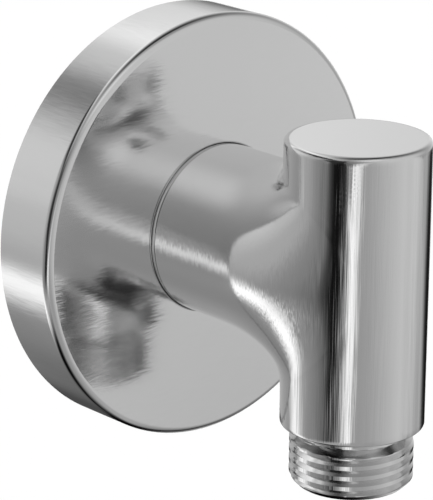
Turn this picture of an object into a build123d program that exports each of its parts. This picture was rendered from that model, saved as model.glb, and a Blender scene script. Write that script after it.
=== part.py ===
from build123d import *
from math import copysign, cos, pi, radians, sin
import os

os.makedirs("parts", exist_ok=True)

# Frame: the wall is the plane y = 0, the arm leaves it along -Y and +Z is up.
# The origin is on the arm's axis where it meets the wall.

# Escutcheon, a turned cup that hides the hole in the wall
escutcheon_d = 75.2
escutcheon_depth = 12.6
escutcheon_wall = 1.5
escutcheon_edge = 1.4
face_dome = 0.3
collar_length = 7.0
collar_wall = 1.6
collar_root = 0.8
seam_round = 0.3

# Elbow: round arm, upright barrel and the distance from the wall to the barrel's axis
arm_d = 29.8
barrel_d = 24.3
reach = 46.2
shoulder_gap = 4.0
rear_chamfer = 0.6
cap_height = 2.9
cap_edge = 0.9
skirt_height = 2.9
skirt_edge = 0.3

# Blend of the arm into the barrel
side_blend = 8.0
under_blend = 17.25
top_rise = 5.5
under_drop = 8.1
wrap_angle = 132.8
crown_lead = 2.3
crown_dip = 0.145
under_power = 2.25
rise_power = 1.65
turn_power = 7.0
side_lead_in = 0.267
end_lead_in = 0.169
side_lead_out = 0.115
end_lead_out = 0.202
seat_dip = 0.02
generator_count = 60

# G 1/2 pipe threads of the inlet and the outlet, at their major diameter
thread_d = 20.955
thread_minor_d = 18.631
thread_relief = 0.2
outlet_length = 10.5
outlet_relief = 1.8
inlet_length = 18.0
inlet_relief = 1.8

# Waterway
bore_d = 15.0
barrel_wall = 3.9
groove_floor = 3.0
inlet_land = 2.0
mouth_step = 0.75
dome_lift = 6.0

# Grip ring between the arm and the escutcheon's collar
hole_clearance = 0.1
ring_width = 2.1
ring_height = 1.6
ring_corner = 0.55
ring_ease = 0.03
groove_play = 0.3

arm_r = arm_d / 2
barrel_r = barrel_d / 2
thread_r = thread_d / 2
minor_r = thread_minor_d / 2
neck_r = minor_r - thread_relief
bore_r = bore_d / 2
hole_r = arm_r + hole_clearance
groove_r = hole_r - ring_height - 2 * ring_ease
ring_y = -(escutcheon_depth - collar_length / 2)
side_start = barrel_r + side_blend
under_start = barrel_r + under_blend
barrel_top = arm_r + top_rise + cap_height
barrel_bottom = -(arm_r + under_drop + skirt_height)
outlet_end = barrel_bottom - outlet_length
inlet_end = inlet_length - shoulder_gap
thread_chamfer = thread_r - neck_r


def spun(points_and_arcs, axis):
    return revolve(make_face(points_and_arcs), axis)


def generator(angle):
    # One line of the elbow's skin: straight along the arm, then a curve that leaves the arm
    # in its own direction and lands on the barrel with the barrel's own bend.
    s = sin(angle)
    c = cos(angle)
    swell = 4 * s * s * (1 - s * s)
    if s < 0:
        start = side_start + (under_start - side_start) * abs(s) ** under_power
        land_z = arm_r * s - under_drop * abs(s) ** under_power
        turn = pi / 2 * abs(s) ** turn_power
    else:
        start = side_start + crown_lead * swell
        land_z = arm_r * s + top_rise * abs(s) ** rise_power
        turn = pi / 2 * (abs(s) ** turn_power - crown_dip * swell)
    leave = Vector(-arm_r * c, start - reach, arm_r * s)
    wrap = radians(wrap_angle) * c
    seat_r = barrel_r - seat_dip
    outward = Vector(-sin(wrap), cos(wrap), 0)
    land = Vector(0, -reach, land_z) + outward * seat_r
    around = Vector(-cos(wrap), -sin(wrap), 0) * copysign(1, c)
    upright = Vector(0, 0, copysign(1, s))
    way_out = around * cos(turn) + upright * sin(turn)
    chord = (land - leave).length
    lead_in = (side_lead_in + (end_lead_in - side_lead_in) * s * s) * chord
    lead_out = (side_lead_out + (end_lead_out - side_lead_out) * s * s) * chord
    bend = 1.25 * (lead_out * cos(turn)) ** 2 / seat_r
    curve = Bezier(
        leave,
        leave + Vector(0, -lead_in, 0),
        leave + Vector(0, -2 * lead_in, 0),
        land - way_out * (2 * lead_out) - outward * bend,
        land - way_out * lead_out,
        land,
    )
    rear = Vector(leave.X, -shoulder_gap, leave.Z)
    return Wire([Line(rear, leave), curve])


# Skin of the arm and its blend, closed at the rear by a disc and inside the barrel by a cone
wires = [generator(pi / 2 + 2 * pi * i / generator_count) for i in range(generator_count)]
skin = Shell.make_loft(wires + [wires[0]])
rims = [e for e in skin.edges() if e.is_closed]
rear_rim = max(rims, key=lambda e: e.center().Y)
barrel_rim = min(rims, key=lambda e: e.center().Y)
rear_disc = Face(Wire([rear_rim]))
inner_cone = Shell.make_loft([Wire([barrel_rim]), Vertex(0, -reach, 0)], ruled=True)
arm = Solid(Shell(list(skin.faces()) + [rear_disc] + list(inner_cone.faces())))

# Barrel with its outlet spigot, turned about the upright axis
barrel_axis = Axis((0, -reach, 0), (0, 0, 1))
barrel_side = Polyline(
    (0, barrel_top),
    (barrel_r, barrel_top),
    (barrel_r, barrel_bottom),
    (neck_r, barrel_bottom),
    (neck_r, barrel_bottom - outlet_relief),
    (thread_r, barrel_bottom - outlet_relief - thread_chamfer / 2),
    (thread_r, outlet_end + thread_chamfer),
    (neck_r, outlet_end),
    (0, outlet_end),
    close=True,
)
barrel_plane = Plane((0, -reach, 0), x_dir=(1, 0, 0), z_dir=(0, -1, 0))
barrel_face = make_face(barrel_plane * barrel_side)
barrel = revolve(barrel_face, barrel_axis)
top_edge = barrel.edges().filter_by(GeomType.CIRCLE).sort_by(Axis.Z)[-1]
barrel = fillet(top_edge, cap_edge)
skirt_rim = barrel.edges().filter_by(GeomType.CIRCLE)
skirt_rim = skirt_rim.filter_by(lambda e: abs(e.radius - barrel_r) < 1e-6).sort_by(Axis.Z)[0]
barrel = fillet(skirt_rim, skirt_edge)

# Inlet spigot behind the shoulder, turned about the arm's axis
arm_axis = Axis((0, 0, 0), (0, 1, 0))
inlet_side = Polyline(
    (0, -shoulder_gap - inlet_land),
    (neck_r, -shoulder_gap - inlet_land),
    (neck_r, -shoulder_gap + inlet_relief),
    (thread_r, -shoulder_gap + inlet_relief + thread_chamfer / 2),
    (thread_r, inlet_end - thread_chamfer),
    (neck_r, inlet_end),
    (0, inlet_end),
    close=True,
)
inlet = spun(inlet_side, arm_axis)

# What is turned off the arm's rear: the ring's groove and the chamfer of the shoulder
groove_half = ring_width / 2 + groove_play
groove_cut = Polyline(
    (groove_r, ring_y - groove_half),
    (hole_r + collar_wall, ring_y - groove_half),
    (hole_r + collar_wall, ring_y + groove_half),
    (groove_r, ring_y + groove_half),
    close=True,
)
rear_cut = Polyline(
    (arm_r - rear_chamfer, -shoulder_gap),
    (arm_r + rear_chamfer, -shoulder_gap),
    (arm_r + rear_chamfer, -shoulder_gap - 2 * rear_chamfer),
    close=True,
)

# Waterway: a cored chamber along the arm and one along the barrel
chamber_r = groove_r - groove_floor
well_r = barrel_r - barrel_wall
mouth_r = well_r - mouth_step
chamber_start = -shoulder_gap - inlet_land
chamber_end = -(reach - under_start)
arm_core = spun(
    Polyline(
        (0, inlet_end + 1),
        (bore_r, inlet_end + 1),
        (bore_r, chamber_start),
        (chamber_r, chamber_start - (chamber_r - bore_r)),
        (chamber_r, chamber_end),
        (mouth_r, -reach + barrel_r),
        (mouth_r, -reach),
        (0, -reach),
        close=True,
    ),
    arm_axis,
)
well_floor = barrel_bottom + skirt_height
well_side = Polyline(
    (well_r, dome_lift),
    (well_r, well_floor),
    (bore_r, well_floor - (well_r - bore_r)),
    (bore_r, outlet_end - 1),
    (0, outlet_end - 1),
    (0, dome_lift + well_r),
)
well_dome = CenterArc((0, dome_lift), well_r, 0, 90)
well = make_face(barrel_plane * (well_side + well_dome))
barrel_core = revolve(well, barrel_axis)

elbow = barrel + arm + inlet
elbow = elbow - spun(groove_cut, arm_axis) - spun(rear_cut, arm_axis)
elbow = elbow - barrel_core - arm_core

# Escutcheon: outer cup, open at the wall, with a collar that rides on the arm
cup_r = escutcheon_d / 2
face_y = -escutcheon_depth
inner_y = face_y + escutcheon_wall
collar_y = face_y + collar_length
collar_r = hole_r + collar_wall
inner_r = cup_r - escutcheon_wall


def dome_y(radius, centre_y):
    # The face falls back a little from the hole to the rim, as part of a wide ball.
    share = (radius**2 - hole_r**2) / (cup_r**2 - hole_r**2)
    return centre_y + face_dome * share


mid_r = (cup_r + hole_r) / 2
front_face = ThreePointArc((cup_r, dome_y(cup_r, face_y)), (mid_r, dome_y(mid_r, face_y)), (hole_r, face_y))
inner_face = ThreePointArc(
    (collar_r, dome_y(collar_r, inner_y)), (mid_r, dome_y(mid_r, inner_y)), (inner_r, dome_y(inner_r, inner_y))
)
collar_side = Polyline(front_face @ 1, (hole_r, collar_y), (collar_r, collar_y), inner_face @ 0)
rim_side = Polyline(inner_face @ 1, (inner_r, 0), (cup_r, 0), front_face @ 0)
cup = make_face(front_face + collar_side + inner_face + rim_side)
front_corner = cup.vertices().sort_by_distance(front_face @ 0)[0]
cup = fillet(front_corner, escutcheon_edge)
back_corner = cup.vertices().sort_by_distance(inner_face @ 1)[0]
cup = fillet(back_corner, max(escutcheon_edge - escutcheon_wall, collar_root / 2))
root_corner = cup.vertices().sort_by_distance(inner_face @ 0)[0]
cup = fillet(root_corner, collar_root)
hole_corner = cup.vertices().sort_by_distance(front_face @ 1)[0]
cup = fillet(hole_corner, seam_round)
escutcheon = revolve(cup, arm_axis)

# Grip ring, drawn as it lies pressed between the groove's floor and the collar
ring_mid = groove_r + ring_ease + ring_height / 2
ring_face = Pos(ring_mid, ring_y, 0) * RectangleRounded(ring_height, ring_width, ring_corner)
grip_ring = revolve(ring_face, arm_axis)

export_step(elbow, "parts/elbow_body.step")
export_step(escutcheon, "parts/escutcheon.step")
export_step(grip_ring, "parts/grip_ring.step")
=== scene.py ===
from math import ceil, copysign, cos, pi, radians, sin, tan

import bmesh
import bpy
from mathutils import Matrix, Vector


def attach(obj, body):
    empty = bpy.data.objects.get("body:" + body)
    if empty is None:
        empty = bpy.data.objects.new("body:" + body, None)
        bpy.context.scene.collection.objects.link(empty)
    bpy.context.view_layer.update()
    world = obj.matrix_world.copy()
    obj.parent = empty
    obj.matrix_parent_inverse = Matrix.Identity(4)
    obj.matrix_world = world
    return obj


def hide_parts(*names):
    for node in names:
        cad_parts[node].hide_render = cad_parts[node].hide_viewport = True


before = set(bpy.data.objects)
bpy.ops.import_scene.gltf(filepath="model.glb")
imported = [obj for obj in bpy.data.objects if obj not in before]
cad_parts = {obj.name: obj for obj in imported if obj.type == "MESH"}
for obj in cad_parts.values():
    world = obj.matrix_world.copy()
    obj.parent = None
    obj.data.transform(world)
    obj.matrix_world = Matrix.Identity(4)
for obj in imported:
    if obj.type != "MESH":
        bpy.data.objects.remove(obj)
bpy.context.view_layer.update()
mm = 0.001
gaps = {
    "merge": 1e-4,          # points closer than this become one, in mm
    "sliver": 2e-3,         # the same where a thread was cut off
    "cut": 1e-5,            # a cut goes through points as near as this
    "plane": 1e-3,          # a point as near as this lies on a plane or ring
}
print("frame loaded:", ", ".join(sorted(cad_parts)))


# elbow body: arm, barrel and the blend between them, all sizes in mm
elbowSize = {
    "armRadius": 14.9,
    "barrelRadius": 12.147,
    "reach": 46.2,          # wall to the barrel's axis
    "shoulderY": -4.0,
    "shoulderChamfer": 0.6,
    "grooveRadius": 13.34,
    "grooveEnds": (-7.75, -10.45),  # the rubber ring's groove
    "lineY": -13.22,        # fine turned line just in front of the escutcheon
    "lineWidth": 0.14,
    "lineDepth": 0.6,
    "sideBlend": 8.0,       # how far before the barrel the blend starts, at the sides
    "underBlend": 17.25,    # and underneath
    "topRise": 5.5,         # how far above and below the arm the blend ends
    "underDrop": 8.1,
    "wrapAngle": 132.8,     # how far the side lines run round the barrel
    "crownLead": 2.3,       # earlier start and flatter end halfway up to the top
    "crownDip": 0.145,
    "underPower": 2.25,     # how late the side's values give way to those below, above,
    "risePower": 1.65,
    "turnPower": 7.0,       # and to a line that ends upright
    "leadIn": (0.267, 0.169),   # handles as shares of the chord, at the sides and above or below
    "leadOut": (0.115, 0.202),
    "barrelTop": 23.3,
    "barrelBottom": -25.9,
    "capEdge": 0.9,
    "capSteps": 6,
    "capMargin": 0.25,      # narrow ring of the flat beside the rounded edge
    "skirtEdge": 0.3,
    "skirtSteps": 4,
    "skirtMargin": 0.2,
    "boreRadius": 7.5,
    "chamberRadius": 10.34,
    "chamberEnds": (-8.84, -16.8, -34.05),  # its rear, its front, and where it narrows to the bore
    "around": 240,          # points round the arm
    "capShare": 34,         # points of each half that run to the barrel's top, and to its foot
    "armRings": 5,
    "blendRings": 36,
    "barrelRings": 14,
    "boreAround": 72,
}

# G 1/2 pipe thread, shared by the inlet and the outlet
threadSize = {
    "major": 10.4775,
    "neck": 9.1155,
    "pitch": 1.814,
    "crestFlat": 0.7,
    "outletPhase": 0.375,   # how far the outlet's turns are wound on
    "flankAngle": 27.5,
    "endChamfer": 1.1,
    "flankSteps": 6,
    "steps": 120,
    "spareTurns": 2,        # wound past the ends, then cut off
    "startTurns": 1.5,      # how many of these lie past the outer end
    "outletLength": 10.5,
    "inletLength": 18.0,
    "relief": 1.7,
    "runOut": 1.36,         # how steeply the turns rise out of the relief
}


def smoothShade(bm, sharpAngle=32):
    bmesh.ops.recalc_face_normals(bm, faces=bm.faces)
    for face in bm.faces:
        face.smooth = True
    for edge in bm.edges:
        edge.smooth = edge.calc_face_angle(0) < radians(sharpAngle)


def meshPiece(name, bm, scale=mm):
    bmesh.ops.scale(bm, vec=(scale, scale, scale), verts=bm.verts)
    mesh = bpy.data.meshes.new(name)
    bm.to_mesh(mesh)
    bm.free()
    piece = bpy.data.objects.new(name, mesh)
    bpy.context.scene.collection.objects.link(piece)
    return piece


def ringEdges(ring):
    pairs = zip(ring, ring[1:] + ring[:1])
    return [next(e for e in a.link_edges if e.other_vert(a) is b) for a, b in pairs]


def pullRing(bm, ring, places):
    made = bmesh.ops.extrude_edge_only(bm, edges=ringEdges(ring))
    fresh = {v for v in made["geom"] if isinstance(v, bmesh.types.BMVert)}
    nextRing = []
    for vert in ring:
        others = [e.other_vert(vert) for e in vert.link_edges]
        nextRing.append(next(v for v in others if v in fresh))
    for vert, place in zip(nextRing, places):
        vert.co = place
    return nextRing


def startRing(bm, places):
    made = bmesh.ops.create_circle(bm, segments=len(places), radius=1)
    ring = made["verts"]
    for vert, place in zip(ring, places):
        vert.co = place
    return ring


def skinLine(angle):
    # one line of the skin: it leaves the arm straight
    # and lands on the barrel with the barrel's own bend
    size = elbowSize
    s, c = sin(angle), cos(angle)
    swell = 4 * s * s * (1 - s * s)
    start = size["barrelRadius"] + size["sideBlend"]
    landZ = size["armRadius"] * s
    turn = pi / 2 * abs(s) ** size["turnPower"]
    if s < 0:
        start += (size["underBlend"] - size["sideBlend"]) * abs(s) ** size["underPower"]
        landZ -= size["underDrop"] * abs(s) ** size["underPower"]
    else:
        start += size["crownLead"] * swell
        landZ += size["topRise"] * abs(s) ** size["risePower"]
        turn -= pi / 2 * size["crownDip"] * swell
    leave = Vector((-size["armRadius"] * c, start - size["reach"], size["armRadius"] * s))
    wrap = radians(size["wrapAngle"]) * c
    land = onBarrel(wrap, landZ)
    outward = Vector((-sin(wrap), cos(wrap), 0))
    around = Vector((-cos(wrap), -sin(wrap), 0)) * copysign(1, c)
    wayOut = around * cos(turn) + Vector((0, 0, copysign(1, s))) * sin(turn)
    chord = (land - leave).length
    shares = (size["leadIn"], size["leadOut"])
    leadIn, leadOut = [(side + (end - side) * s * s) * chord for side, end in shares]
    endBend = 5 / 4     # a line of six handles ends with four fifths of the bend set here
    bend = endBend * (leadOut * cos(turn)) ** 2 / size["barrelRadius"]
    forward = Vector((0, -leadIn, 0))
    back = wayOut * leadOut
    handles = [leave, leave + forward, leave + forward * 2]
    handles += [land - back * 2 - outward * bend, land - back, land]
    return handles, wrap, landZ


def onBarrel(wrap, z):
    r = elbowSize["barrelRadius"]
    return Vector((-r * sin(wrap), r * cos(wrap) - elbowSize["reach"], z))


def bezier(points, t):
    while len(points) > 1:
        points = [a.lerp(b, t) for a, b in zip(points, points[1:])]
    return points[0]


def barrelGoal(index):
    # where a skin line ends on the barrel: its top edge, its front line or its foot
    size = elbowSize
    half = size["around"] // 2
    share = size["capShare"]
    step = min(index, size["around"] - index)
    side = 1 if index <= half else -1
    top = size["barrelTop"] - size["capEdge"]
    foot = size["barrelBottom"] + size["skirtEdge"]
    if step <= share:
        return side * pi * step / share, top
    if step >= half - share:
        return side * pi * (half - step) / share, foot
    along = (step - share) / (half - 2 * share)
    return side * pi, top + (foot - top) * along


def armRing(radius, y, angles):
    return [Vector((-radius * cos(a), y, radius * sin(a))) for a in angles]


def makeSkin(bm):
    size = elbowSize
    count = size["around"]
    angles = [pi / 2 - 2 * pi * i / count for i in range(count)]
    r, chamfer = size["armRadius"], size["shoulderChamfer"]
    rearY, frontY = size["grooveEnds"]
    ring = startRing(bm, armRing(r - chamfer, size["shoulderY"], angles))
    turned = [(r, size["shoulderY"] - chamfer), (r, rearY), (size["grooveRadius"], rearY)]
    turned += [(size["grooveRadius"], frontY), (r, frontY)]
    half, sunk = size["lineWidth"] / 2, r - size["lineDepth"]
    turned += [(r, size["lineY"] + half), (sunk, size["lineY"] + half)]
    turned += [(sunk, size["lineY"] - half), (r, size["lineY"] - half)]
    for radius, y in turned:
        ring = pullRing(bm, ring, armRing(radius, y, angles))
    lines = [skinLine(a) for a in angles]
    rear = [v.co.copy() for v in ring]
    for j in range(1, size["armRings"] + 1):
        t = j / size["armRings"]
        ring = pullRing(bm, ring, [a.lerp(line[0][0], t) for a, line in zip(rear, lines)])
    for j in range(1, size["blendRings"] + 1):
        t = j / size["blendRings"]
        ring = pullRing(bm, ring, [bezier(line[0], t) for line in lines])
    goals = [barrelGoal(i) for i in range(count)]
    for j in range(1, size["barrelRings"] + 1):
        t = j / size["barrelRings"]
        places = []
        for (_, wrap, landZ), (goalWrap, goalZ) in zip(lines, goals):
            places.append(onBarrel(wrap + (goalWrap - wrap) * t, landZ + (goalZ - landZ) * t))
        ring = pullRing(bm, ring, places)
    bmesh.ops.remove_doubles(bm, verts=ring, dist=gaps["merge"])


def openLoop(bm, test):
    return [e for e in bm.edges if e.is_boundary and all(test(v.co) for v in e.verts)]


def openRing(bm, test):
    # the points of an open border, in order
    edges = openLoop(bm, test)
    ring = [edges[0].verts[0]]
    spare = set(edges)
    while spare:
        edge = next(e for e in ring[-1].link_edges if e in spare)
        spare.remove(edge)
        ring.append(edge.other_vert(ring[-1]))
    return ring[:-1]


def barrelCircle(radius, z, ring):
    axis = Vector((0, -elbowSize["reach"], 0))
    places = []
    for v in ring:
        out = Vector((v.co.x, v.co.y, 0)) - axis
        places.append(axis + out.normalized() * radius + Vector((0, 0, z)))
    return places


def threadProfile():
    # one pitch of the 55 degree form, its crest cut flat: (radius, way along)
    size = threadSize
    crest, half = size["major"], size["crestFlat"] / 2
    run = size["pitch"] / 2 - half
    depth = run / tan(radians(size["flankAngle"]))
    shares = [i / size["flankSteps"] for i in range(size["flankSteps"])]
    points = [(crest, half * (2 * s - 1)) for s in shares]
    points += [(crest - depth * s, half + run * s) for s in shares]
    points += [(crest - depth * (1 - s), half + run * (1 + s)) for s in shares]
    return points


def makeSpigot(length, phase):
    # threaded spigot along -Z from the plane z = 0, open at both ends
    size = threadSize
    pitch = size["pitch"]
    bm = bmesh.new()
    turns = ceil(length / pitch) + size["spareTurns"]
    points = threadProfile()
    last = None
    for turn in range(turns):
        start = phase - length + (turn - size["startTurns"]) * pitch
        for radius, way in points:
            vert = bm.verts.new((radius, 0, start + way))
            if last:
                bm.edges.new((last, vert))
            last = vert
    bmesh.ops.spin(
        bm, geom=bm.verts[:] + bm.edges[:], cent=(0, 0, 0), axis=(0, 0, 1),
        dvec=(0, 0, pitch / size["steps"]), angle=2 * pi, steps=size["steps"], use_merge=False,
    )
    bmesh.ops.remove_doubles(bm, verts=bm.verts, dist=gaps["merge"])
    for vert in bm.verts:
        fromTop = -vert.co.z
        fromEnd = length + vert.co.z
        neck = size["neck"] + max(0, size["runOut"] * (fromTop - size["relief"]))
        limit = min(neck, size["major"] - size["endChamfer"] + max(0, fromEnd))
        out = Vector((vert.co.x, vert.co.y, 0))
        if out.length > limit:
            out = out.normalized() * limit
        vert.co = (out.x, out.y, vert.co.z)
    for level, side in ((0, 1), (-length, -1)):
        everything = bm.verts[:] + bm.edges[:] + bm.faces[:]
        bmesh.ops.bisect_plane(
            bm, geom=everything, dist=gaps["cut"],
            plane_co=(0, 0, level), plane_no=(0, 0, side), clear_outer=True,
        )
    bmesh.ops.remove_doubles(bm, verts=bm.verts, dist=gaps["sliver"])
    for vert in bm.verts:   # merging may lift a border off its plane
        if vert.is_boundary:
            vert.co.z = 0 if vert.co.z > -length / 2 else -length
    return bm


def addMesh(bm, other, place):
    bmesh.ops.transform(other, matrix=place, verts=other.verts)
    mesh = bpy.data.meshes.new("spigot")
    other.to_mesh(mesh)
    other.free()
    bm.from_mesh(mesh)
    bpy.data.meshes.remove(mesh)


def near(value, goal):
    return abs(value - goal) < gaps["plane"]


def makeWaterway(bm, outletEnd, inletEnd):
    # bored from the outlet up to the mitre under the arm, then along the arm to the inlet
    size = elbowSize
    reach, r = size["reach"], size["boreRadius"]
    count = size["boreAround"]
    angles = [2 * pi * i / count for i in range(count)]
    flat = [(r * cos(a), r * sin(a)) for a in angles]
    ring = startRing(bm, [Vector((x, y - reach, outletEnd)) for x, y in flat])
    for t in (0.5, 1):
        places = [Vector((x, y - reach, outletEnd + (-y - outletEnd) * t)) for x, y in flat]
        ring = pullRing(bm, ring, places)
    chamberRear, chamberFront, mouth = size["chamberEnds"]
    wide = size["chamberRadius"]
    along = [(r, mouth), (wide, chamberFront), (wide, chamberRear)]
    along += [(r, chamberRear + wide - r), (r, inletEnd)]
    for radius, y in along:
        ring = pullRing(bm, ring, [Vector((x * radius / r, y, -up * radius / r)) for x, up in flat])


def roundEnd(bm, flatZ, edge, steps, margin):
    # rounds the barrel's open end over to the flat at its top or foot
    rise = copysign(edge, flatZ)
    radius = elbowSize["barrelRadius"]
    ring = openRing(bm, lambda co: near(co.z, flatZ - rise))
    for j in range(1, steps + 1):
        a = pi / 2 * j / steps
        places = barrelCircle(radius - edge * (1 - cos(a)), flatZ - rise * (1 - sin(a)), ring)
        ring = pullRing(bm, ring, places)
    return pullRing(bm, ring, barrelCircle(radius - edge - margin, flatZ, ring))


def makeElbow():
    size = elbowSize
    reach = size["reach"]
    bm = bmesh.new()
    makeSkin(bm)
    capRing = roundEnd(bm, size["barrelTop"], size["capEdge"], size["capSteps"], size["capMargin"])
    bmesh.ops.contextual_create(bm, geom=ringEdges(capRing))
    roundEnd(bm, size["barrelBottom"], size["skirtEdge"], size["skirtSteps"], size["skirtMargin"])

    # threaded outlet and inlet
    outletEnd = size["barrelBottom"] - threadSize["outletLength"]
    inletEnd = size["shoulderY"] + threadSize["inletLength"]
    outlet = makeSpigot(threadSize["outletLength"], threadSize["outletPhase"])
    addMesh(bm, outlet, Matrix.Translation((0, -reach, size["barrelBottom"])))
    inlet = makeSpigot(threadSize["inletLength"], 0)
    turn = Matrix.Rotation(radians(90), 4, "X")
    addMesh(bm, inlet, Matrix.Translation((0, size["shoulderY"], 0)) @ turn)
    makeWaterway(bm, outletEnd, inletEnd)

    # flats that close the open borders: foot, outlet's end, shoulder, inlet's end
    flats = (
        lambda co: near(co.z, size["barrelBottom"]),
        lambda co: near(co.z, outletEnd),
        lambda co: near(co.y, size["shoulderY"]),
        lambda co: near(co.y, inletEnd),
    )
    for test in flats:
        bmesh.ops.triangle_fill(bm, edges=openLoop(bm, test), use_beauty=True, use_dissolve=False)
    print("elbow open edges left:", sum(1 for e in bm.edges if not e.is_manifold))
    smoothShade(bm)
    for face in bm.faces:
        if any(all(test(v.co) for v in face.verts) for test in flats):
            face.smooth = False
    return meshPiece("elbowBody", bm)


elbow = makeElbow()
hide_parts("elbow_body")
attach(elbow, "root")
print("elbow built:", len(elbow.data.polygons), "faces")


# escutcheon: a turned cup, open at the wall, with a collar that rides on the arm
escutcheonSize = {
    "radius": 37.6,
    "depth": 12.6,
    "wall": 1.5,
    "dome": 0.3,            # how far the face falls back from the hole to the rim
    "edgeRound": 1.4,
    "edgeSteps": 12,
    "holeRadius": 14.95,
    "holeRound": 0.3,
    "holeSteps": 6,
    "lipDepth": 1.2,
    "boreRadius": 15.0,     # behind the lip of the hole
    "collarWall": 1.6,
    "collarEnd": -5.6,
    "collarRoot": 0.8,
    "cornerRound": 0.4,
    "insideSteps": 4,
    "margin": 0.05,         # flat strip kept beside each rounding
    "faceRings": (33, 29, 25, 21, 18),
    "innerRings": (20, 25, 30),
    "around": 288,
}


def domeY(radius, start):
    size = escutcheonSize
    hole, rim = size["holeRadius"] ** 2, size["radius"] ** 2
    return start + size["dome"] * (radius ** 2 - hole) / (rim - hole)


def onRing(vert, radius, y):
    return near(Vector((vert.co.x, vert.co.z)).length, radius) and near(vert.co.y, y)


def roundRing(bm, radius, y, offset, segments):
    edges = [e for e in bm.edges if all(onRing(v, radius, y) for v in e.verts)]
    bmesh.ops.bevel(
        bm, geom=edges, offset=offset, offset_type="OFFSET", segments=segments,
        profile=0.5, affect="EDGES", material=-1, clamp_overlap=False,
    )


def makeEscutcheon():
    size = escutcheonSize
    front, inner = -size["depth"], size["wall"] - size["depth"]
    rim, hole, bore = size["radius"], size["holeRadius"], size["boreRadius"]
    wallIn, collarOut = rim - size["wall"], bore + size["collarWall"]
    edgeStrip = size["edgeRound"] + size["margin"]
    holeStrip = size["holeRound"] + size["margin"]
    lipEnd, collarEnd = front + size["lipDepth"], size["collarEnd"]
    corner = (rim, domeY(rim, front))
    faceRadii = (rim - edgeStrip, *size["faceRings"], hole + holeStrip)
    innerRadii = (collarOut, *size["innerRings"], wallIn)
    outline = [corner] + [(r, domeY(r, front)) for r in faceRadii]
    outline += [(hole, front), (hole, front + holeStrip), (hole, lipEnd)]
    outline += [(bore, lipEnd), (bore, collarEnd), (collarOut, collarEnd)]
    outline += [(r, domeY(r, inner)) for r in innerRadii]
    outline += [(wallIn, 0), (rim, 0), (rim, corner[1] + edgeStrip)]
    bm = bmesh.new()
    verts = [bm.verts.new((radius, y, 0)) for radius, y in outline]
    for a, b in zip(verts, verts[1:] + verts[:1]):
        bm.edges.new((a, b))
    bmesh.ops.spin(
        bm, geom=bm.verts[:] + bm.edges[:], cent=(0, 0, 0), axis=(0, 1, 0), dvec=(0, 0, 0),
        angle=2 * pi, steps=size["around"], use_merge=True,
    )
    bmesh.ops.remove_doubles(bm, verts=bm.verts, dist=gaps["merge"])
    bmesh.ops.recalc_face_normals(bm, faces=bm.faces)
    roundRing(bm, *corner, size["edgeRound"], size["edgeSteps"])
    roundRing(bm, hole, front, size["holeRound"], size["holeSteps"])
    roundRing(bm, collarOut, domeY(collarOut, inner), size["collarRoot"], size["insideSteps"])
    roundRing(bm, wallIn, domeY(wallIn, inner), size["cornerRound"], size["insideSteps"])
    print("escutcheon open edges left:", sum(1 for e in bm.edges if not e.is_manifold))
    smoothShade(bm)
    return meshPiece("escutcheonCup", bm)


escutcheon = makeEscutcheon()
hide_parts("escutcheon")
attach(escutcheon, "root")
print("escutcheon built:", len(escutcheon.data.polygons), "faces")


# chrome plate with the fine hairs of a brush: how many hairs a metre, and how far each leans
elbowFinish = {
    "colour": (0.8, 0.8, 0.8, 1),
    "roughness": 0.085,
    "hairs": (9500, 9500, 90),         # upright
    "lean": (0.03, 0.03, 0.2),
}
escutcheonFinish = {
    "colour": (0.8, 0.8, 0.8, 1),
    "roughness": 0.12,
    "faceHairs": (350, 8000, 8000),    # level across the face
    "faceLean": (0.065, 0, 0.065),
    "rimHairs": (6000, 250, 6000),     # towards the wall on the rim
    "rimLean": (0.05, 0.05, 0.05),
    "faceLimit": 0.98,                 # how squarely the face and the rim look forward
    "rimLimit": 0.1,
    "insideRoughness": 0.5,            # the back isn't polished
    "insideLimits": (0.2, 0.9),        # how squarely the back looks at the wall
}
ringFinish = {
    "colours": ((0.010, 0.010, 0.010, 1), (0.022, 0.022, 0.021, 1)),
    "roughness": (0.68, 0.85),
    "grain": 1400,
    "grainHeight": 2e-5,
}


def newNode(tree, kind, **values):
    node = tree.nodes.new(kind)
    for name, value in values.items():
        setattr(node, name, value)
    return node


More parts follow.
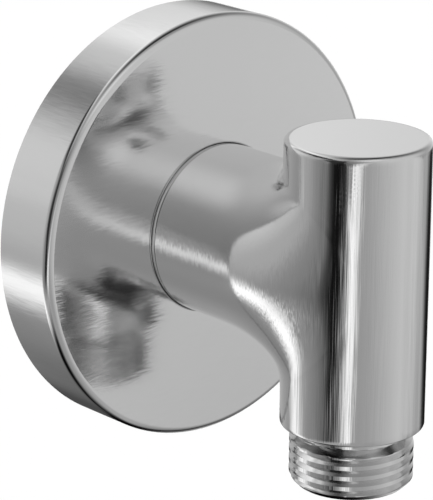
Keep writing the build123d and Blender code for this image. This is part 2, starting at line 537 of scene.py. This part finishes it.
def brushedHairsGroup():
    # each hair is a long thin cell with a lean of its own
    tree = bpy.data.node_groups.new("brushedHairs", "ShaderNodeTree")
    face = tree.interface
    for name in ("Vector", "Hairs", "Lean", "Normal"):
        face.new_socket(name, in_out="INPUT", socket_type="NodeSocketVector")
    face.new_socket("Cover", in_out="INPUT", socket_type="NodeSocketFloat")
    face.new_socket("Normal", in_out="OUTPUT", socket_type="NodeSocketVector")
    source = newNode(tree, "NodeGroupInput")
    result = newNode(tree, "NodeGroupOutput")
    stretch = newNode(tree, "ShaderNodeVectorMath", operation="MULTIPLY")
    noise = newNode(tree, "ShaderNodeTexNoise")
    noise.inputs["Scale"].default_value = 1
    noise.inputs["Detail"].default_value = 1
    centred = newNode(tree, "ShaderNodeVectorMath", operation="SUBTRACT")
    centred.inputs[1].default_value = (0.5, 0.5, 0.5)
    lean = newNode(tree, "ShaderNodeVectorMath", operation="MULTIPLY")
    covered = newNode(tree, "ShaderNodeVectorMath", operation="SCALE")
    turned = newNode(tree, "ShaderNodeVectorMath", operation="ADD")
    unit = newNode(tree, "ShaderNodeVectorMath", operation="NORMALIZE")
    tree.links.new(source.outputs["Vector"], stretch.inputs[0])
    tree.links.new(source.outputs["Hairs"], stretch.inputs[1])
    tree.links.new(stretch.outputs[0], noise.inputs["Vector"])
    tree.links.new(noise.outputs["Color"], centred.inputs[0])
    tree.links.new(centred.outputs[0], lean.inputs[0])
    tree.links.new(source.outputs["Lean"], lean.inputs[1])
    tree.links.new(lean.outputs[0], covered.inputs[0])
    tree.links.new(source.outputs["Cover"], covered.inputs["Scale"])
    tree.links.new(source.outputs["Normal"], turned.inputs[0])
    tree.links.new(covered.outputs[0], turned.inputs[1])
    tree.links.new(turned.outputs[0], unit.inputs[0])
    tree.links.new(unit.outputs[0], result.inputs["Normal"])
    return tree


brushedHairs = brushedHairsGroup()


def chromeShader(name, finish):
    mat = bpy.data.materials.new(name)
    mat.use_nodes = True
    shader = mat.node_tree.nodes["Principled BSDF"]
    shader.inputs["Base Color"].default_value = finish["colour"]
    shader.inputs["Metallic"].default_value = 1
    shader.inputs["Roughness"].default_value = finish["roughness"]
    return mat, mat.node_tree, shader


def addHairs(tree, coords, normal, hairs, lean):
    node = newNode(tree, "ShaderNodeGroup", node_tree=brushedHairs)
    node.inputs["Hairs"].default_value = hairs
    node.inputs["Lean"].default_value = lean
    node.inputs["Cover"].default_value = 1
    tree.links.new(coords.outputs["Object"], node.inputs["Vector"])
    tree.links.new(normal, node.inputs["Normal"])
    return node


def elbowChrome():
    finish = elbowFinish
    mat, tree, shader = chromeShader("elbowChrome", finish)
    coords = newNode(tree, "ShaderNodeTexCoord")
    surface = newNode(tree, "ShaderNodeNewGeometry")
    hairs = addHairs(tree, coords, surface.outputs["Normal"], finish["hairs"], finish["lean"])
    tree.links.new(hairs.outputs["Normal"], shader.inputs["Normal"])
    return mat


def escutcheonChrome():
    finish = escutcheonFinish
    mat, tree, shader = chromeShader("escutcheonChrome", finish)
    coords = newNode(tree, "ShaderNodeTexCoord")
    surface = newNode(tree, "ShaderNodeNewGeometry")
    split = newNode(tree, "ShaderNodeSeparateXYZ")
    ahead = newNode(tree, "ShaderNodeMath", operation="ABSOLUTE")
    onFace = newNode(tree, "ShaderNodeMath", operation="GREATER_THAN")
    onFace.inputs[1].default_value = finish["faceLimit"]
    onRim = newNode(tree, "ShaderNodeMath", operation="LESS_THAN")
    onRim.inputs[1].default_value = finish["rimLimit"]
    tree.links.new(surface.outputs["Normal"], split.inputs[0])
    tree.links.new(split.outputs["Y"], ahead.inputs[0])
    tree.links.new(ahead.outputs[0], onFace.inputs[0])
    tree.links.new(ahead.outputs[0], onRim.inputs[0])
    plain = surface.outputs["Normal"]
    face = addHairs(tree, coords, plain, finish["faceHairs"], finish["faceLean"])
    rim = addHairs(tree, coords, face.outputs["Normal"], finish["rimHairs"], finish["rimLean"])
    tree.links.new(onFace.outputs[0], face.inputs["Cover"])
    tree.links.new(onRim.outputs[0], rim.inputs["Cover"])
    tree.links.new(rim.outputs["Normal"], shader.inputs["Normal"])
    inside = newNode(tree, "ShaderNodeMapRange")
    inside.inputs["From Min"].default_value = finish["insideLimits"][0]
    inside.inputs["From Max"].default_value = finish["insideLimits"][1]
    inside.inputs["To Min"].default_value = finish["roughness"]
    inside.inputs["To Max"].default_value = finish["insideRoughness"]
    tree.links.new(split.outputs["Y"], inside.inputs["Value"])
    tree.links.new(inside.outputs["Result"], shader.inputs["Roughness"])
    return mat


def ringRubber():
    mat = bpy.data.materials.new("ringRubber")
    mat.use_nodes = True
    tree = mat.node_tree
    shader = tree.nodes["Principled BSDF"]
    coords = newNode(tree, "ShaderNodeTexCoord")
    grain = newNode(tree, "ShaderNodeTexNoise")
    grain.inputs["Scale"].default_value = ringFinish["grain"]
    tone = newNode(tree, "ShaderNodeMix", data_type="RGBA")
    tone.inputs[6].default_value, tone.inputs[7].default_value = ringFinish["colours"]
    dull = newNode(tree, "ShaderNodeMapRange")
    dull.inputs["To Min"].default_value = ringFinish["roughness"][0]
    dull.inputs["To Max"].default_value = ringFinish["roughness"][1]
    bump = newNode(tree, "ShaderNodeBump")
    bump.inputs["Distance"].default_value = ringFinish["grainHeight"]
    tree.links.new(coords.outputs["Object"], grain.inputs["Vector"])
    tree.links.new(grain.outputs["Fac"], tone.inputs[0])
    tree.links.new(grain.outputs["Fac"], dull.inputs["Value"])
    tree.links.new(grain.outputs["Fac"], bump.inputs["Height"])
    tree.links.new(tone.outputs[2], shader.inputs["Base Color"])
    tree.links.new(dull.outputs["Result"], shader.inputs["Roughness"])
    tree.links.new(bump.outputs["Normal"], shader.inputs["Normal"])
    return mat


def dress(piece, mat):
    piece.data.materials.clear()
    piece.data.materials.append(mat)


dress(elbow, elbowChrome())
dress(escutcheon, escutcheonChrome())
dress(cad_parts["grip_ring"], ringRubber())
print("finishes set")

# camera at the photograph's angle
cameraView = {
    "eye": (-295.04, -330.13, 140.36),
    "aim": (-8.655, -21.944, 0.029),
    "roll": 0.339,
    "lens": 189.14,
    "clip": (0.01, 20),
}


def makeCamera():
    data = bpy.data.cameras.new("photoCamera")
    data.lens = cameraView["lens"]
    data.clip_start, data.clip_end = cameraView["clip"]
    camera = bpy.data.objects.new("photoCamera", data)
    bpy.context.scene.collection.objects.link(camera)
    eye, aim = Vector(cameraView["eye"]) * mm, Vector(cameraView["aim"]) * mm
    turn = (aim - eye).to_track_quat("-Z", "Y").to_matrix().to_4x4()
    roll = Matrix.Rotation(radians(cameraView["roll"]), 4, "Z")
    camera.matrix_world = Matrix.Translation(eye) @ turn @ roll
    bpy.context.scene.camera = camera


makeCamera()

# reflection tent: what the chrome mirrors, out of the camera's sight
tentSize = {
    "radius": 3.0,
    "facets": 4,
    "middle": 0.491,                    # its own level
    "slope": (0.420, -0.003, 0.184),    # how that grows along x, y and z
    "least": 0.025,
    "widest": 88,                       # limit for half a card, in degrees
}
# boxes are bright, flags dark and greys between, each with azimuth, elevation,
# half width, half height and turn in degrees, level, and softness of its edge
tentCards = [
    ("rearLeftLowBox", -141.1, -28.5, 49.6, 7.4, -47, 2.746, 0.93),
    ("frontLeftBox", -49.2, -15.2, 6.5, 20.8, -48, 2.342, 0.85),
    ("underLeftGrey", -57.9, -74.7, 41.3, 67.3, 41, 0.440, 0.13),
    ("leftLowFlag", -66.2, -14.3, 34.7, 7.2, 19, 0.001, 0.90),
    ("rightFlag", 107.5, -22.0, 18.3, 11.5, -16, 0.007, 0.49),
    ("highRightFlag", 128.1, 63.5, 25.9, 69.5, -61, 0.000, 0.93),
    ("rearHighBox", -160.6, 59.5, 4.6, 44.7, -76, 1.213, 0.53),
    ("rearHighLeftBox", -139.8, 60.4, 38.6, 19.1, -25, 1.392, 0.96),
    ("rearLeftGrey", -152.9, 11.2, 17.2, 33.9, 22, 0.418, 0.12),
    ("rearLeftBox", -160.7, 6.4, 24.8, 42.2, -84, 0.732, 0.22),
    ("backFloorRightFlag", 141.5, -68.6, 53.9, 15.4, 14, 0.145, 0.46),
    ("backFloorLeftFlag", -133.6, -77.3, 46.6, 27.2, 4, 0.003, 0.23),
    ("leftSideFlag", -87.2, 15.2, 15.8, 44.1, 43, 0.025, 0.12),
    ("rearLowFlag", 144.5, -21.3, 14.3, 28.2, 24, 0.071, 0.50),
    ("topFlag", 78.3, 75.9, 45.5, 26.7, -88, 0.009, 0.98),
    ("lowFrontGrey", -29.1, -49.4, 31.6, 16.8, -77, 0.332, 0.78),
    ("frontRightBox", 23.6, 17.0, 27.2, 50.4, -70, 0.629, 0.81),
    ("leftRearGrey", -118.7, 3.1, 14.2, 47.5, -30, 0.456, 0.95),
    ("leftHighFlag", -116.0, 43.2, 36.5, 9.8, -17, 0.044, 0.42),
    ("rightLowGrey", 86.1, -35.4, 11.6, 23.9, 48, 0.291, 0.95),
    ("frontHighGrey", -38.6, 61.6, 8.6, 51.8, -44, 0.365, 0.32),
    ("rearMidBox", 156.6, -14.9, 30.3, 3.5, 5, 0.953, 0.33),
    ("leftEdgeFlag", -75.1, 4.3, 9.2, 30.1, -20, 0.030, 0.37),
    ("rightRearBox", 135.7, -13.6, 2.5, 9.7, 25, 1.359, 0.71),
    ("frontHighBox", -18.1, 49.9, 17.9, 13.1, 15, 0.780, 0.73),
    ("underFlag", 90.2, -68.3, 30.9, 5.7, -48, 0.000, 0.82),
    ("sideFlag", -75.4, -16.4, 4.7, 9.4, -54, 0.006, 0.45),
    ("leftLowBox", -114.4, -38.7, 8.6, 4.0, -40, 0.890, 0.50),
    ("floorFlag", 147.0, -52.0, 9.0, 10.0, 0, 0.000, 0.35),
    ("underArmFlag", 97.0, -45.0, 8.0, 7.0, 0, 0.030, 0.50),
]


def cardGroup():
    tree = bpy.data.node_groups.new("tentCard", "ShaderNodeTree")
    face = tree.interface
    for name in ("Direction", "Centre", "Across", "Upward"):
        face.new_socket(name, in_out="INPUT", socket_type="NodeSocketVector")
    for name in ("Under", "Level", "Inner", "Outer"):
        face.new_socket(name, in_out="INPUT", socket_type="NodeSocketFloat")
    face.new_socket("Light", in_out="OUTPUT", socket_type="NodeSocketFloat")
    source = newNode(tree, "NodeGroupInput")
    result = newNode(tree, "NodeGroupOutput")
    dots = {}
    for name in ("Centre", "Across", "Upward"):
        dots[name] = newNode(tree, "ShaderNodeVectorMath", operation="DOT_PRODUCT")
        tree.links.new(source.outputs["Direction"], dots[name].inputs[0])
        tree.links.new(source.outputs[name], dots[name].inputs[1])
    square = newNode(tree, "ShaderNodeMath", operation="MULTIPLY")
    both = newNode(tree, "ShaderNodeMath", operation="MULTIPLY_ADD")
    root = newNode(tree, "ShaderNodeMath", operation="SQRT")
    edge = newNode(tree, "ShaderNodeMapRange", interpolation_type="SMOOTHSTEP")
    edge.inputs["To Min"].default_value = 1
    edge.inputs["To Max"].default_value = 0
    front = newNode(tree, "ShaderNodeMath", operation="GREATER_THAN")
    front.inputs[1].default_value = 0
    cover = newNode(tree, "ShaderNodeMath", operation="MULTIPLY")
    mix = newNode(tree, "ShaderNodeMix", data_type="FLOAT")
    across, upward = dots["Across"].outputs["Value"], dots["Upward"].outputs["Value"]
    tree.links.new(across, square.inputs[0])
    tree.links.new(across, square.inputs[1])
    tree.links.new(upward, both.inputs[0])
    tree.links.new(upward, both.inputs[1])
    tree.links.new(square.outputs[0], both.inputs[2])
    tree.links.new(both.outputs[0], root.inputs[0])
    tree.links.new(root.outputs[0], edge.inputs["Value"])
    tree.links.new(source.outputs["Inner"], edge.inputs["From Min"])
    tree.links.new(source.outputs["Outer"], edge.inputs["From Max"])
    tree.links.new(dots["Centre"].outputs["Value"], front.inputs[0])
    tree.links.new(front.outputs[0], cover.inputs[0])
    tree.links.new(edge.outputs["Result"], cover.inputs[1])
    tree.links.new(cover.outputs[0], mix.inputs[0])
    tree.links.new(source.outputs["Under"], mix.inputs[2])
    tree.links.new(source.outputs["Level"], mix.inputs[3])
    tree.links.new(mix.outputs[0], result.inputs["Light"])
    return tree


def cardFrame(azimuth, elevation, turn):
    a, e, t = radians(azimuth), radians(elevation), radians(turn)
    centre = Vector((sin(a) * cos(e), -cos(a) * cos(e), sin(e)))
    level = Vector((cos(a), sin(a), 0))
    upright = centre.cross(level)
    return centre, level * cos(t) + upright * sin(t), upright * cos(t) - level * sin(t)


def makeTent():
    bm = bmesh.new()
    bmesh.ops.create_icosphere(bm, subdivisions=tentSize["facets"], radius=tentSize["radius"])
    tent = meshPiece("reflectionTent", bm, 1)
    mat = bpy.data.materials.new("tentLight")
    mat.use_nodes = True
    tree = mat.node_tree
    tree.nodes.clear()
    coords = newNode(tree, "ShaderNodeTexCoord")
    unit = newNode(tree, "ShaderNodeVectorMath", operation="NORMALIZE")
    tree.links.new(coords.outputs["Object"], unit.inputs[0])
    lean = newNode(tree, "ShaderNodeVectorMath", operation="DOT_PRODUCT")
    lean.inputs[1].default_value = tentSize["slope"]
    tree.links.new(unit.outputs[0], lean.inputs[0])
    add = newNode(tree, "ShaderNodeMath", operation="ADD")
    add.inputs[1].default_value = tentSize["middle"]
    tree.links.new(lean.outputs["Value"], add.inputs[0])
    least = newNode(tree, "ShaderNodeMath", operation="MAXIMUM")
    least.inputs[1].default_value = tentSize["least"]
    tree.links.new(add.outputs[0], least.inputs[0])
    light = least.outputs[0]
    group = cardGroup()
    widest = tentSize["widest"]
    for name, azimuth, elevation, halfWidth, halfHeight, turn, level, soft in tentCards:
        card = newNode(tree, "ShaderNodeGroup", node_tree=group, label=name)
        centre, across, upward = cardFrame(azimuth, elevation, turn)
        card.inputs["Centre"].default_value = centre
        card.inputs["Across"].default_value = across / sin(radians(min(halfWidth, widest)))
        card.inputs["Upward"].default_value = upward / sin(radians(min(halfHeight, widest)))
        card.inputs["Level"].default_value = level
        card.inputs["Inner"].default_value = 1 - soft
        card.inputs["Outer"].default_value = 1 + soft
        tree.links.new(unit.outputs[0], card.inputs["Direction"])
        tree.links.new(light, card.inputs["Under"])
        light = card.outputs["Light"]
    glow = newNode(tree, "ShaderNodeEmission")
    out = newNode(tree, "ShaderNodeOutputMaterial")
    tree.links.new(light, glow.inputs["Strength"])
    tree.links.new(glow.outputs[0], out.inputs["Surface"])
    tent.data.materials.append(mat)
    tent.visible_camera = False
    tent.visible_diffuse = False
    tent.visible_shadow = False


# floor, lamp and white surroundings
studio = {
    "floorLevel": -0.30,
    "floorHalf": 6.0,
    "floorColour": (0.95, 0.95, 0.95, 1),
    "floorRoughness": 0.9,
    "sunStrength": 1.5,
    "sunAngle": 40,
    "sunTilt": (25, -20, 0),
    "skyStrength": 0.65,
}


def makeStudio():
    bm = bmesh.new()
    bmesh.ops.create_grid(bm, x_segments=2, y_segments=2, size=studio["floorHalf"])
    bmesh.ops.translate(bm, vec=(0, 0, studio["floorLevel"]), verts=bm.verts)
    floor = meshPiece("studioFloor", bm, 1)
    mat = bpy.data.materials.new("floorPaper")
    mat.use_nodes = True
    shader = mat.node_tree.nodes["Principled BSDF"]
    shader.inputs["Base Color"].default_value = studio["floorColour"]
    shader.inputs["Roughness"].default_value = studio["floorRoughness"]
    shader.inputs["Specular IOR Level"].default_value = 0
    floor.data.materials.append(mat)
    floor.visible_glossy = False
    lamp = bpy.data.lights.new("softSun", "SUN")
    lamp.energy = studio["sunStrength"]
    lamp.angle = radians(studio["sunAngle"])
    sun = bpy.data.objects.new("softSun", lamp)
    sun.rotation_euler = [radians(x) for x in studio["sunTilt"]]
    sun.visible_glossy = False
    bpy.context.scene.collection.objects.link(sun)
    world = bpy.data.worlds.new("whiteSurroundings")
    bpy.context.scene.world = world
    world.use_nodes = True
    tree = world.node_tree
    sky = tree.nodes["Background"]
    sky.inputs["Color"].default_value = (1, 1, 1, 1)
    sky.inputs["Strength"].default_value = studio["skyStrength"]
    white = newNode(tree, "ShaderNodeBackground")
    white.inputs["Color"].default_value = (1, 1, 1, 1)
    path = newNode(tree, "ShaderNodeLightPath")
    seen = newNode(tree, "ShaderNodeMath", operation="ADD")
    shown = newNode(tree, "ShaderNodeMath", operation="ADD", use_clamp=True)
    mix = newNode(tree, "ShaderNodeMixShader")
    tree.links.new(path.outputs["Is Camera Ray"], seen.inputs[0])
    tree.links.new(path.outputs["Is Glossy Ray"], seen.inputs[1])
    tree.links.new(seen.outputs[0], shown.inputs[0])
    tree.links.new(path.outputs["Is Transmission Ray"], shown.inputs[1])
    tree.links.new(shown.outputs[0], mix.inputs[0])
    tree.links.new(sky.outputs[0], mix.inputs[1])
    tree.links.new(white.outputs[0], mix.inputs[2])
    tree.links.new(mix.outputs[0], tree.nodes["World Output"].inputs["Surface"])


makeTent()
makeStudio()
print("studio set")
bpy.context.scene.view_settings.view_transform = "Standard"
